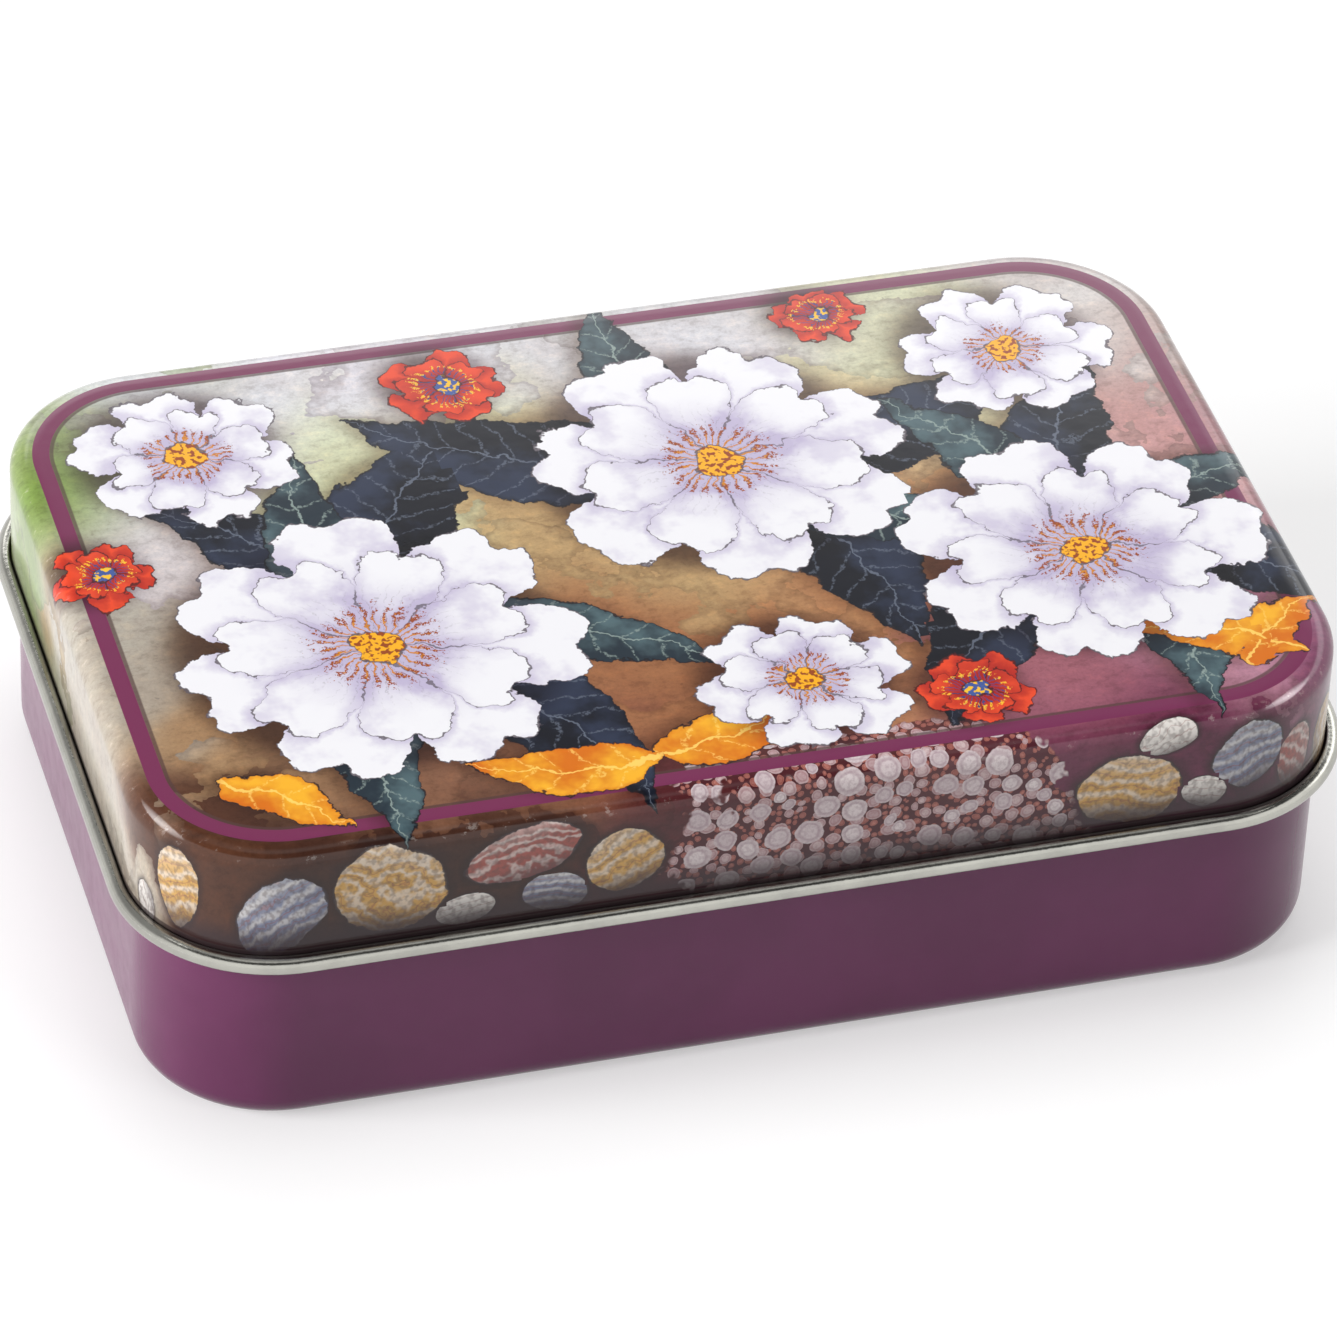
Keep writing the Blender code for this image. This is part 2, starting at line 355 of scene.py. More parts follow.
def make_tray():
    """The tray's shell, with its floor, its notches and a hook on each tongue."""
    half_tongue, half_notch = TONGUE_WIDTH / 2, TONGUE_WIDTH / 2 + TONGUE_SLIT
    sides = [TONGUE_SPACING / 2 + d for d in (-half_notch, -half_tongue, half_tongue, half_notch)]
    ring = border(plan_grid(tray_half, tray_corner, sides, TRAY_SPACING))
    core, normals = plan_normals(ring, tray_half, tray_corner)
    section, axis_row = tray_rows()
    rows = swept(section, core, normals, tray_corner)
    columns = len(ring)
    points = [rows.reshape(-1, 3)]
    faces = ring_faces(len(section), columns)
    kept = np.ones(faces.shape[:2], bool)
    kept[axis_row:, by_tongue(ring, tray_half[1], half_notch)] = False
    heights = section[:-1, 1] + np.diff(section[:, 1]) / 2
    bare = np.broadcast_to(((heights > LACQUER_TOP) * 1)[:, None], kept.shape)
    wall_faces, wall_slots = faces[kept], bare[kept]
    floor = [list(range(columns))[::-1]]
    radius = CURL_DIAMETER / 2 + FIT_GAP + SHEET / 2
    quarter = math.pi / 2
    hook = np.concatenate([
        arc(hinge_y, hinge_z, radius, math.pi, quarter, HOOK_RISE_STEPS)[1:],
        arc(hinge_y + HOOK_PLAY, hinge_z, radius, quarter, -HOOK_TAIL, HOOK_WRAP_STEPS),
    ])
    hook_faces = []
    start = len(points[0])
    for side in (-1, 1):
        tongue = np.where(by_tongue(ring, tray_half[1], half_tongue) & (ring[:, 0] * side > 0))[0]
        across = np.append(tongue, tongue[-1] + 1)
        base = axis_row * columns + across
        x = ring[across, 0]
        strip = np.stack(np.broadcast_arrays(x, hook[:, :1], hook[:, 1:]), -1)
        numbers = np.concatenate([base[None], start + np.arange(strip[..., 0].size).reshape(
            strip.shape[:2])])
        hook_faces.append(np.stack([numbers[:-1, :-1], numbers[:-1, 1:], numbers[1:, 1:],
                                    numbers[1:, :-1]], -1).reshape(-1, 4))
        points.append(strip.reshape(-1, 3))
        start += strip[..., 0].size
    hooks = np.concatenate(hook_faces)
    all_faces = wall_faces.tolist() + hooks.tolist() + floor
    slots = np.concatenate([wall_slots, np.ones(len(hooks), int), [0]])
    tin = bare_tinplate()
    piece = shell_piece("tray_shell", np.concatenate(points), all_faces, slots,
                        [purple_lacquer(), tin, tin], "tray", "tray")


make_tray()

# Lid
# The upper shell, drawn from one tinplate sheet that was printed and varnished flat, so its
# picture runs over the edge and down the skirt. The rim is rolled outwards to a curl, which
# shows the sheet's bare side, and two windows above the curl let the tray's hooks reach it.
LID_EDGE_RADIUS = 1.5 * MM
CURL_SWEEP = math.radians(300)
WINDOW_SIDE_GAP = 0.4 * MM
WINDOW_SILL = 0.2 * MM
STOP_GAP = 0.05 * MM
LID_SPACING = 0.8 * MM
CURL_STEPS = 26

# The picture, on the flat sheet in millimetres and degrees, with its places listed
FRAME_LINE = {"half_length": 43.9, "half_depth": 28, "corner": 8.8, "half_width": 0.66}
BLOOMS = [  # x, y, radius, turn
    (-24.5, -8, 16.5, 12), (6.5, 8.5, 15.5, 40), (30.5, -8.5, 14.5, 3),
]
SMALL_BLOOMS = [
    (-33, 18, 9, 20), (5.5, -19, 8.4, 50), (32.5, 17.5, 9, 8),
]
POPPIES = [
    (-11.5, 22.5, 5, 0), (17.5, -23, 4.6, 30), (-42.5, 5, 4.2, 15), (19.5, 25, 3.8, 50),
]
DARK_LEAVES = [  # base x, base y, direction, length, half width, bend
    (-24, -8, 62, 30, 5.4, 3.4), (-24, -8, 124, 25, 4.8, -2.8), (-24, -8, -56, 27, 5, 2.4),
    (6.5, 9, 158, 29, 5.4, 2.8), (6.5, 9, 14, 27, 5, -3), (6.5, 9, -72, 28, 5.4, 2.4),
    (31, -8, -32, 23, 4.6, 2.5), (31, -8, 72, 25, 4.8, 2.5), (31, -8, -132, 25, 4.8, -2.5),
]
SLATE_LEAVES = [
    (-24, -8, 92, 25, 3.6, 2), (-24, -8, -18, 26, 3.8, 2.8), (-24, -8, -98, 23, 3.8, -2),
    (6.5, 9, 100, 22, 3.6, 2), (6.5, 9, -34, 25, 3.8, -2.5), (31, -8, 22, 20, 3.4, 2),
    (31, -8, -82, 22, 3.6, 2), (31, -8, 116, 24, 3.6, -2),
]
GOLD_LEAVES = [
    (-7, -25, 172, 15, 2.9, 1.6), (-8, -25, 20, 13, 2.7, -1.2), (43, -24, 158, 14, 2.7, -1.4),
    (-40, -21, -40, 11, 2.3, 1), (38, -25, 42, 11, 2.3, 1),
]
STONES = [  # x, y, half length, half width, turn, tint
    (-47, -28.6, 2.6, 3.6, -45, 0.40), (-38.4, -35, 4.8, 3.3, 16, 0.06),
    (-29, -33.9, 4.3, 3.9, -12, 0.37), (-23.4, -36.9, 2.3, 1.4, 10, 0.95),
    (-19, -32.6, 4.5, 2.3, 14, 0.66), (-16.6, -36.5, 2.6, 1.8, -8, 0.12),
    (-11.4, -34.6, 2.9, 2.9, 30, 0.34), (27.4, -35.2, 4.2, 3.1, -6, 0.41),
    (30.2, -30.8, 2.3, 1.4, 12, 0.92), (33.3, -36.4, 1.8, 1.4, -20, 0.97),
    (37.4, -33.4, 3.7, 2.9, 24, 0.09), (43.6, -33.2, 2.7, 2.8, 0, 0.70),
    (49.4, -29, 3.4, 3.2, -45, 0.36), (52, -20, 2.3, 3.6, 0, 0.10),
    (51, -10.4, 2.8, 3, 20, 0.38), (53.6, -4, 1.6, 2.2, 0, 0.94),
    (-52.4, -26, 2, 1.5, 60, 0.93),
]
PEBBLED = {"top": -24, "fade": 4, "middle": 8, "reach": 18}
BLOOM_SHARE = 0.88                # a flower's circle inside its petals' tips
LEAF_TAPER = 0.8
FLOWER_SHADOW = ((-1.3, 0.7), 2.4)                # offset, reach
LEAF_SHADOW = ((-1, 0.6), 2)
SHADOW_ON_LEAVES = ((-0.4, 0), 2.4)
TORN_SHIFT = (1, -5)              # where a torn wash takes the ground from
WASH_WAVES = [  # axis, reach, radians to the millimetre, start
    (0, 2.2, 0.23, 0.8), (0, 1.1, 0.55, 0), (1, 2.4, 0.19, 0), (1, 1.2, 0.47, 2),
]
WASHES = [  # x, y, reach, red, green, blue
    (-38, 22, 13, 212, 212, 222), (-14, 24, 14, 220, 217, 230), (-16, 12, 11, 206, 212, 170),
    (8, 26, 14, 222, 219, 230), (22, 15, 12, 204, 206, 172), (41, 21, 10, 214, 210, 208),
    (-40, 6, 9, 210, 204, 206), (-4, 0, 12, 188, 158, 112), (16, 2, 11, 196, 158, 114),
    (14, -12, 12, 176, 124, 84), (42, 0, 10, 200, 152, 150), (41, -20, 10, 184, 134, 152),
    (-33.5, -19, 8, 166, 132, 96), (-22, -25, 9, 132, 92, 70), (-4, -22, 10, 160, 108, 72),
    (24, -24, 9, 168, 104, 118),
    (-46, 26, 9, 98, 132, 24), (-46.5, 14, 8, 94, 128, 26), (-46.5, 3, 4, 156, 122, 60),
    (-54, 16, 7, 186, 196, 166), (-53, 4, 6, 174, 174, 148), (-51, -8, 8, 192, 184, 170),
    (-50.5, -20, 8, 190, 180, 164), (-45.5, -7, 6, 172, 165, 153), (-45, -17, 6, 168, 159, 146),
    (-42, -33, 7, 84, 50, 34), (-28, -37, 11, 62, 36, 28),
    (-2, -37, 11, 84, 36, 40), (30, -37, 12, 96, 40, 66), (50, -24, 9, 122, 60, 96),
    (53, -6, 10, 128, 76, 104), (53, 14, 13, 176, 146, 140), (0, 38, 20, 178, 180, 170),
    (38, 38, 14, 160, 146, 150), (-38, 37, 13, 146, 168, 96),
]

# The paints, and how they are laid
LEAVES = {  # leaves, dark, light, vein
    "dark_leaves": (DARK_LEAVES, rgb(17, 19, 29), rgb(44, 52, 73), rgb(104, 112, 128)),
    "slate_leaves": (SLATE_LEAVES, rgb(34, 46, 56), rgb(82, 104, 110), rgb(150, 166, 160)),
    "gold_leaves": (GOLD_LEAVES, rgb(214, 112, 22), rgb(244, 178, 44), rgb(250, 214, 110)),
}
RED_PAINTS = (rgb(228, 74, 40), rgb(168, 34, 30), rgb(70, 22, 24), rgb(60, 66, 120),
              rgb(242, 190, 50), rgb(64, 88, 152))
WHITE_PAINTS = (rgb(238, 237, 241), rgb(190, 180, 208), rgb(92, 84, 92), rgb(206, 132, 40),
                rgb(150, 70, 30), rgb(246, 176, 36))
FLOWERS = {  # flowers, petals in a ring, heart's share; pale, shade, ink, stamen, anther, heart
    "poppies": (POPPIES, 5, 0.24, RED_PAINTS),
    "small_blooms": (SMALL_BLOOMS, 6, 0.15, WHITE_PAINTS),
    "blooms": (BLOOMS, 7, 0.12, WHITE_PAINTS),
}
BACK_RING = (1, 0.42)             # size, and how far the seams are drawn in
FRONT_RING = (0.76, 0.5)
SEAM_POWER = 3.6
NOTCH_DEPTH = 0.05
SHORTER_PETAL = 0.14
STAMENS = 26
PEBBLES = [  # scale, fill, rim
    (1.5, rgb(184, 120, 108), rgb(120, 56, 54)), (0.72, rgb(206, 184, 184), rgb(150, 104, 110)),
    (0.42, rgb(226, 214, 214), rgb(158, 130, 140)),
]
PEBBLE_GAPS = rgb(76, 34, 40)
STONE_BLUE = rgb(128, 134, 158)
STONE_TINTS = [(0.2, rgb(206, 162, 92)), (0.5, rgb(164, 92, 84)), (0.8, rgb(228, 222, 216))]
STONE_BAND = rgb(232, 226, 220)
STONE_VEIN = rgb(150, 84, 76)
STONE_DARK = rgb(62, 48, 56)
STONE_LIGHT = rgb(240, 236, 230)
STONE_SPECK = rgb(96, 78, 76)
STONE_SHADOW = rgb(40, 26, 26)
STONE_LINE = rgb(54, 42, 44)
STONE_STRAY = (0.1, 0.14, 0)
STONE_EDGE = 3.6                  # millimetres for one share of a stone's width
BRUSH_STRAY = 2.6
PENCIL = rgb(26, 24, 30)
PENCIL_HALF_WIDTH = (0.03, 0.11)
PENCIL_COVER = 0.9
PAINT_BLUR = 0.03
TORN_TONE = rgb(150, 132, 130)    # tones multiply what is under them
POOL_TONE = rgb(236, 226, 222)
FLECK_TONE = rgb(150, 134, 128)
FLECK_LIFT = (1.34, 1.26, 1.16, 1)
GRAIN_TONE = rgb(150, 140, 140)
SHADOW_TONE = rgb(184, 172, 164)
LEAF_SHADOW_TONE = rgb(170, 160, 170)
FRAME_COLOR = rgb(117, 47, 83)
FRAME_GAP = 0.14
INNER_LINE = rgb(80, 56, 54)
WEAR_PLACE = 1.1                  # over the edge, in millimetres
WEAR_COVER = 0.25
WEAR_COLOR = rgb(214, 208, 202)
# painted shade on the skirt's lower part, above the curl
SKIRT_PAINTED_SHADE = rgb(46, 30, 36)
# painted shade in the crevice where the skirt meets the curl
CREVICE = (9.48, 9.65, 0, 0.8)    # over the edge, and how dark there
CREVICE_PAINTED_SHADE = rgb(52, 42, 44)
PRINT_ROUGHNESS = 0.3
PRINT_GLOSS = 0.05
VARNISH_WEIGHT = 0.7
VARNISH_ROUGHNESS = 0.09
SKIN_SCALE = 0.8
SKIN_STRENGTH = 0.07
SKIN_DEPTH = 0.03 * MM

lid_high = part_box("lid")[1]
lid_corner = CORNER_RADIUS - SHEET / 2
lid_half = (tray_half[0] + SHEET + FIT_GAP, tray_half[1] + SHEET + FIT_GAP)
lid_edge = LID_EDGE_RADIUS - SHEET / 2


def lid_rows():
    """The lid's section, out from the wall and up, from the end of its flat top."""
    top = lid_high.z - SHEET / 2
    curl = CURL_DIAMETER / 2 - SHEET / 2
    hook_face = CURL_DIAMETER / 2 + FIT_GAP + SHEET + HOOK_PLAY + STOP_GAP
    head = hinge_z + math.sqrt(hook_face ** 2 - (curl - SHEET / 2) ** 2)
    sill = hinge_z + WINDOW_SILL
    bend = arc(-lid_edge, top - lid_edge, lid_edge, math.pi / 2, 0, BEND_STEPS)
    down = -lines([-bend[-1, 1], -head, -sill, -hinge_z], LID_SPACING)[1:-1]
    wall = np.stack([np.zeros_like(down), down], -1)
    rim = arc(curl, hinge_z, curl, math.pi, math.pi + CURL_SWEEP, CURL_STEPS)
    window = (down[:-1] < head + SHEET / 4) & (down[1:] > sill - SHEET / 4)
    rows = len(bend) + np.where(window)[0]
    return np.concatenate([bend, wall, rim]), rows


def bloom_distance(place, x, y, radius, turn):
    """Millimetres from a flower's outline, taken as a circle inside its petals' tips."""
    return np.hypot(place[..., 0] - x, place[..., 1] - y) - BLOOM_SHARE * radius


def leaf_axes(place, x, y, direction):
    """Millimetres along a leaf's straight axis from its base, and across it."""
    angle = np.radians(direction)
    dx, dy = place[..., 0] - x, place[..., 1] - y
    return dx * np.cos(angle) + dy * np.sin(angle), dy * np.cos(angle) - dx * np.sin(angle)


def leaf_distance(place, x, y, direction, length, half_width, bend):
    """Millimetres from a leaf's outline: across its bent axis, less its half width there,
    which is the widest times the sine of pi times the share along to the taper's power."""
    along, across = leaf_axes(place, x, y, direction)
    share = np.clip(along / length, 0, 1)
    across = across - 4 * bend * share * (1 - share)
    past = np.maximum(np.maximum(-along, along - length), 0)
    return np.abs(across) - half_width * np.sin(math.pi * share ** LEAF_TAPER) + past


def stone_distance(place, x, y, half_length, half_width, turn, tint):
    """How far a place is past a stone's oval, as a share of its width, whatever its tint."""
    along, across = leaf_axes(place, x, y, turn)
    return np.hypot(along / half_length, across / half_width) - 1


def nearest(place, motifs, distance):
    """For each place, the row of the motif whose outline is nearest or covers it deepest."""
    return np.array(motifs)[np.stack([distance(place, *m) for m in motifs]).argmin(0)]


def soft_shadow(place, motifs, distance, offset, reach):
    """How dark the printed shadows of motifs are, from 0 to 1, falling off over the reach
    round each outline after it is moved by the offset."""
    light = np.ones(place.shape[:-1])
    for motif in motifs:
        far = distance(place - np.array(offset), *motif)
        light *= 1 - np.clip(0.5 - far / reach, 0, 1)
    return 1 - light


def washed_ground(place):
    """The ground's colour: each wash weighs exp of minus twice its squared distance over
    its squared reach, at places bent by two waves each way so that no wash is round."""
    bent = place.copy()
    for axis, reach, rate, start in WASH_WAVES:
        bent[:, axis] += reach * np.sin(rate * place[:, 1 - axis] + start)
    washes = np.array(WASHES, float)
    squared = (bent[:, :1] - washes[:, 0]) ** 2 + (bent[:, 1:] - washes[:, 1]) ** 2
    weight = np.exp(-2 * squared / washes[:, 2] ** 2) + 1e-9
    weight /= weight.sum(1, keepdims=True)
    shown = weight @ washes[:, 3:] / 255
    return np.concatenate([((shown + 0.055) / 1.055) ** 2.4, np.ones((len(place), 1))], 1)


def store(data, name, domain, values, kind="FLOAT_VECTOR"):
    """An attribute of the mesh, filled from an array."""
    field = {"FLOAT": "value", "FLOAT_VECTOR": "vector", "FLOAT_COLOR": "color"}[kind]
    data.attributes.new(name, kind, domain).data.foreach_set(field, values.ravel())


def store_picture(data, sheet, over_edge, faces):
    """The sheet's place, how far it lies past the flat top and the soft colours at each
    point and, for each layer of the picture, every face corner's place from the motif
    nearest to the face, with its form."""
    store(data, "sheet", "POINT", np.pad(sheet, ((0, 0), (0, 1))))
    store(data, "over_edge", "POINT", over_edge, "FLOAT")
    store(data, "ground", "POINT", washed_ground(sheet), "FLOAT_COLOR")
    store(data, "other_ground", "POINT", washed_ground(sheet + TORN_SHIFT), "FLOAT_COLOR")
    flowers = BLOOMS + SMALL_BLOOMS + POPPIES
    leaves = DARK_LEAVES + SLATE_LEAVES + GOLD_LEAVES
    on_ground = 1 - ((1 - soft_shadow(sheet, flowers, bloom_distance, *FLOWER_SHADOW))
                     * (1 - soft_shadow(sheet, leaves, leaf_distance, *LEAF_SHADOW)))
    on_leaves = soft_shadow(sheet, flowers, bloom_distance, *SHADOW_ON_LEAVES)
    pebbled = np.clip((PEBBLED["top"] - sheet[:, 1]) / PEBBLED["fade"], 0, 1) - (
        (sheet[:, 0] - PEBBLED["middle"]) / PEBBLED["reach"]) ** 4
    store(data, "soft", "POINT", np.stack([on_ground, on_leaves, pebbled], -1))
    corners = sheet[faces]
    middles = corners.mean(1)
    for name, (motifs, *_) in FLOWERS.items():
        owner = nearest(middles, motifs, bloom_distance)[:, None, :] + 0 * corners[..., :1]
        store(data, name, "CORNER", np.concatenate(
            [corners - owner[..., :2], np.radians(owner[..., 3:])], -1))
        store(data, name + "_radius", "CORNER", owner[..., 2], "FLOAT")
    for name, (motifs, *_) in LEAVES.items():
        owner = nearest(middles, motifs, leaf_distance)[:, None, :] + 0 * corners[..., :1]
        along, across = leaf_axes(corners, owner[..., 0], owner[..., 1], owner[..., 2])
        store(data, name, "CORNER", np.stack([along, across, 0 * along], -1))
        store(data, name + "_form", "CORNER", owner[..., 3:])
    owner = nearest(middles, STONES, stone_distance)[:, None, :] + 0 * corners[..., :1]
    along, across = leaf_axes(corners, owner[..., 0], owner[..., 1], owner[..., 4])
    lay = [along / owner[..., 2], across / owner[..., 3], owner[..., 5]]
    store(data, "stones", "CORNER", np.stack(lay, -1))


def times(tree, a, b):
    """One value times another."""
    return calc(tree, "MULTIPLY", a, b)


def less(tree, a, b):
    """One value less another."""
    return calc(tree, "SUBTRACT", a, b)


def attribute(tree, name, output="Vector"):
    """An attribute of the mesh."""
    return put(tree, "ShaderNodeAttribute", attribute_name=name).outputs[output]


def parts_of(tree, vector):
    """A vector's three numbers."""
    return put(tree, "ShaderNodeSeparateXYZ", {0: vector}).outputs


def vector_math(tree, operation, a, b=(0, 0, 0)):
    """The vector that a Vector Math node gives."""
    return put(tree, "ShaderNodeVectorMath", {0: a, 1: b}, operation=operation).outputs[0]


def length_of(tree, vector):
    """A vector's length."""
    return put(tree, "ShaderNodeVectorMath", {0: vector}, operation="LENGTH").outputs[1]


def layered(tree, under, layers, blend="MIX"):
    """Colours laid one over the other, each given its pattern, the pattern's ramp to how
    much it covers, and itself."""
    for pattern, span, color in layers:
        under = mix(tree, ramp(tree, pattern, *span), under, color, blend)
    return under


class Hand:
    """The painter's hand over the sheet: how far the brush strays in millimetres, the
    pencil's half width, the drift of a wash and the grain of the pigment."""

    def __init__(self, tree):
        self.place = attribute(tree, "sheet")
        stray = noise(tree, self.place, 0.3, 4, 0.6, "2D", "Color")
        centred = vector_math(tree, "SUBTRACT", stray, (0.5, 0.5, 0.5))
        self.stray = vector_math(tree, "MULTIPLY", centred, (BRUSH_STRAY, BRUSH_STRAY, 0))
        self.pencil = ramp(tree, noise(tree, self.place, 0.6, 2, dimensions="2D"),
                           *NOISE_MIDDLE, *PENCIL_HALF_WIDTH)
        self.wash = noise(tree, self.place, 0.16, 4, 0.6, "2D")
        self.grain = noise(tree, self.place, 3.2, 2, 0.7, "2D")
        self.stipple = noise(tree, self.place, 2.2, 1, 0.5, "2D")


def cover(tree, hand, under, distance, paint, ink):
    """Paint over what is under it where the distance from an outline is less than 0, with
    a pencil line along the outline."""
    inside = ramp(tree, distance, -PAINT_BLUR, PAINT_BLUR, 1, 0)
    painted = mix(tree, inside, under, paint)
    past = less(tree, calc(tree, "ABSOLUTE", distance), hand.pencil)
    return mix(tree, ramp(tree, past, -PAINT_BLUR, 0.04, PENCIL_COVER, 0), painted, ink)


def leaf_layer(tree, hand, under, name, dark, light, vein):
    """Leaves with the outline of leaf_distance, darker along the rim and on one side, with
    a paler midrib and side veins."""
    along, across, _ = parts_of(tree, vector_math(tree, "ADD", attribute(tree, name),
                                                  hand.stray))
    length, half_width, bend = parts_of(tree, attribute(tree, name + "_form"))
    share = put(tree, "ShaderNodeClamp", {0: calc(tree, "DIVIDE", along, length)}).outputs[0]
    rest = less(tree, 1, share)
    bow = times(tree, times(tree, share, rest), bend)
    across = less(tree, across, times(tree, bow, 4))
    turned = times(tree, calc(tree, "POWER", share, LEAF_TAPER), math.pi)
    wide = times(tree, calc(tree, "SINE", turned), half_width)
    past = calc(tree, "MAXIMUM", times(tree, along, -1), less(tree, along, length))
    side = calc(tree, "ABSOLUTE", across)
    distance = calc(tree, "ADD", less(tree, side, wide), calc(tree, "MAXIMUM", past, 0))
    tone = calc(tree, "ADD", hand.wash, ramp(tree, across, -3, 3, -0.14, 0.14))
    paint = mix(tree, ramp(tree, tone, 0.35, 0.72), dark, light)
    veins = calc(tree, "PINGPONG", less(tree, times(tree, along, 0.4), times(tree, side, 0.3)),
                 0.5)
    veined = times(tree, ramp(tree, veins, 0.02, 0.09, 0.6, 0),
                   ramp(tree, hand.grain, 0.35, 0.6))
    midrib = ramp(tree, less(tree, side, times(tree, rest, 0.13)), 0, 0.08, 0.8, 0)
    paint = mix(tree, calc(tree, "MAXIMUM", veined, midrib), paint, vein)
    paint = mix(tree, ramp(tree, distance, -0.6, 0, 0, 0.55), paint, dark)
    return cover(tree, hand, under, distance, paint, PENCIL)


def petal_ring(tree, place, radius, turn, count, size, drawn_in):
    """A ring of petals. The angle, as a share of the circle times the count, gives each
    petal's number and how near a place is to its middle line, from 0 at a seam to 1. The
    rim is at the size times the radius, drawn in with a power of the nearness to a seam,
    with a notch at the tip, and shorter on some petals. Gives the distance from the rim and
    from the nearest seam in millimetres, the reach as a share, and the petals counted."""
    x, y, _ = parts_of(tree, place)
    angle = calc(tree, "ADD", calc(tree, "ARCTAN2", y, x), turn)
    phase = times(tree, angle, count / (2 * math.pi))
    number = calc(tree, "FLOORED_MODULO", calc(tree, "FLOOR", phase), float(count))
    seed = calc(tree, "ADD", number, calc(tree, "ROUND", times(tree, turn, 40)))
    luck = put(tree, "ShaderNodeTexWhiteNoise", {"W": seed}, noise_dimensions="1D").outputs[0]
    to_middle = times(tree, calc(tree, "PINGPONG", phase, 0.5), 2)
    to_seam = less(tree, 1, to_middle)
    out = length_of(tree, place)
    reach = calc(tree, "DIVIDE", out, radius)
    inset = times(tree, calc(tree, "POWER", to_seam, SEAM_POWER), size * drawn_in)
    notch = ramp(tree, to_seam, 0, 0.3, NOTCH_DEPTH * size, 0)
    longer = times(tree, times(tree, luck, to_middle), -SHORTER_PETAL * size)
    rim = less(tree, calc(tree, "ADD", longer, size), calc(tree, "ADD", inset, notch))
    from_rim = times(tree, less(tree, reach, rim), radius)
    from_seam = times(tree, to_middle, times(tree, out, math.pi / count))
    return from_rim, from_seam, reach, phase


def petal_paint(tree, hand, ring, size, pale, shade, ink):
    """A petal's paint: pale, shaded towards the flower's heart and along one side of each
    seam, with fine broken lines from the heart and a drawn seam."""
    from_rim, from_seam, reach, phase = ring
    inner = ramp(tree, reach, 0.16 * size, 0.75 * size, 0.85, 0)
    folded = ramp(tree, from_seam, 0, 1.9, 0.5, 0)
    drift = ramp(tree, hand.wash, 0.48, 0.72, 0, 0.5)
    shaded = calc(tree, "ADD", calc(tree, "ADD", inner, folded), drift)
    paint = mix(tree, put(tree, "ShaderNodeClamp", {0: shaded}).outputs[0], pale, shade)
    fine = calc(tree, "PINGPONG", times(tree, phase, 7), 0.5)
    lined = times(tree, ramp(tree, fine, 0.02, 0.12, 0.55, 0),
                  ramp(tree, reach, 0.2 * size, 0.7 * size, 1, 0))
    lined = times(tree, lined, ramp(tree, hand.grain, 0.38, 0.62))
    seam = ramp(tree, less(tree, from_seam, hand.pencil), -0.02, 0.05, 0.8, 0)
    return mix(tree, calc(tree, "MAXIMUM", lined, seam), paint, ink)


def flower_layer(tree, hand, under, name, count, heart_size, colors):
    """Flowers of two rings of petals, the front ring smaller and half a petal round, with
    a ring of stamens about a stippled heart."""
    pale, shade, ink, stamen, anther, heart = colors
    placed = attribute(tree, name)
    turn = parts_of(tree, placed)[2]
    flat = vector_math(tree, "MULTIPLY", placed, (1, 1, 0))
    place = vector_math(tree, "ADD", flat, hand.stray)
    radius = attribute(tree, name + "_radius", "Fac")
    half_turned = calc(tree, "ADD", turn, math.pi / count)
    back = petal_ring(tree, place, radius, half_turned, count, *BACK_RING)
    front = petal_ring(tree, place, radius, turn, count, *FRONT_RING)
    behind = petal_paint(tree, hand, back, BACK_RING[0], pale, shade, ink)
    behind = mix(tree, ramp(tree, front[0], 0, 1.5, 0.65, 0), behind, shade)
    made = cover(tree, hand, under, back[0], behind, ink)
    made = cover(tree, hand, made, front[0],
                 petal_paint(tree, hand, front, FRONT_RING[0], pale, shade, ink), ink)
    reach = front[2]
    spokes = calc(tree, "PINGPONG", times(tree, front[3], STAMENS / count), 0.5)
    uneven = times(tree, less(tree, hand.grain, 0.5), 0.3)
    tip = calc(tree, "ADD", uneven, heart_size * 2)
    threads = times(tree, ramp(tree, spokes, 0.33, 0.45),
                    ramp(tree, less(tree, reach, tip), -0.02, 0, 1, 0))
    made = mix(tree, threads, made, stamen)
    ring = calc(tree, "ABSOLUTE", less(tree, reach, tip))
    dots = times(tree, ramp(tree, spokes, 0.2, 0.3), ramp(tree, ring, 0.02, 0.035, 1, 0))
    made = mix(tree, dots, made, anther)
    dome = mix(tree, ramp(tree, hand.stipple, 0.5, 0.6), heart, anther)
    edge = times(tree, less(tree, reach, heart_size), radius)
    return cover(tree, hand, made, edge, dome, ink)


def frame_distance(tree, hand):
    """Millimetres from the middle of the frame's line, a rectangle with round corners."""
    half = (FRAME_LINE["half_length"], FRAME_LINE["half_depth"])
    corner = FRAME_LINE["corner"]
    away = vector_math(tree, "ABSOLUTE", hand.place)
    past = vector_math(tree, "SUBTRACT", away, (half[0] - corner, half[1] - corner, 0))
    return less(tree, length_of(tree, vector_math(tree, "MAXIMUM", past)), corner)


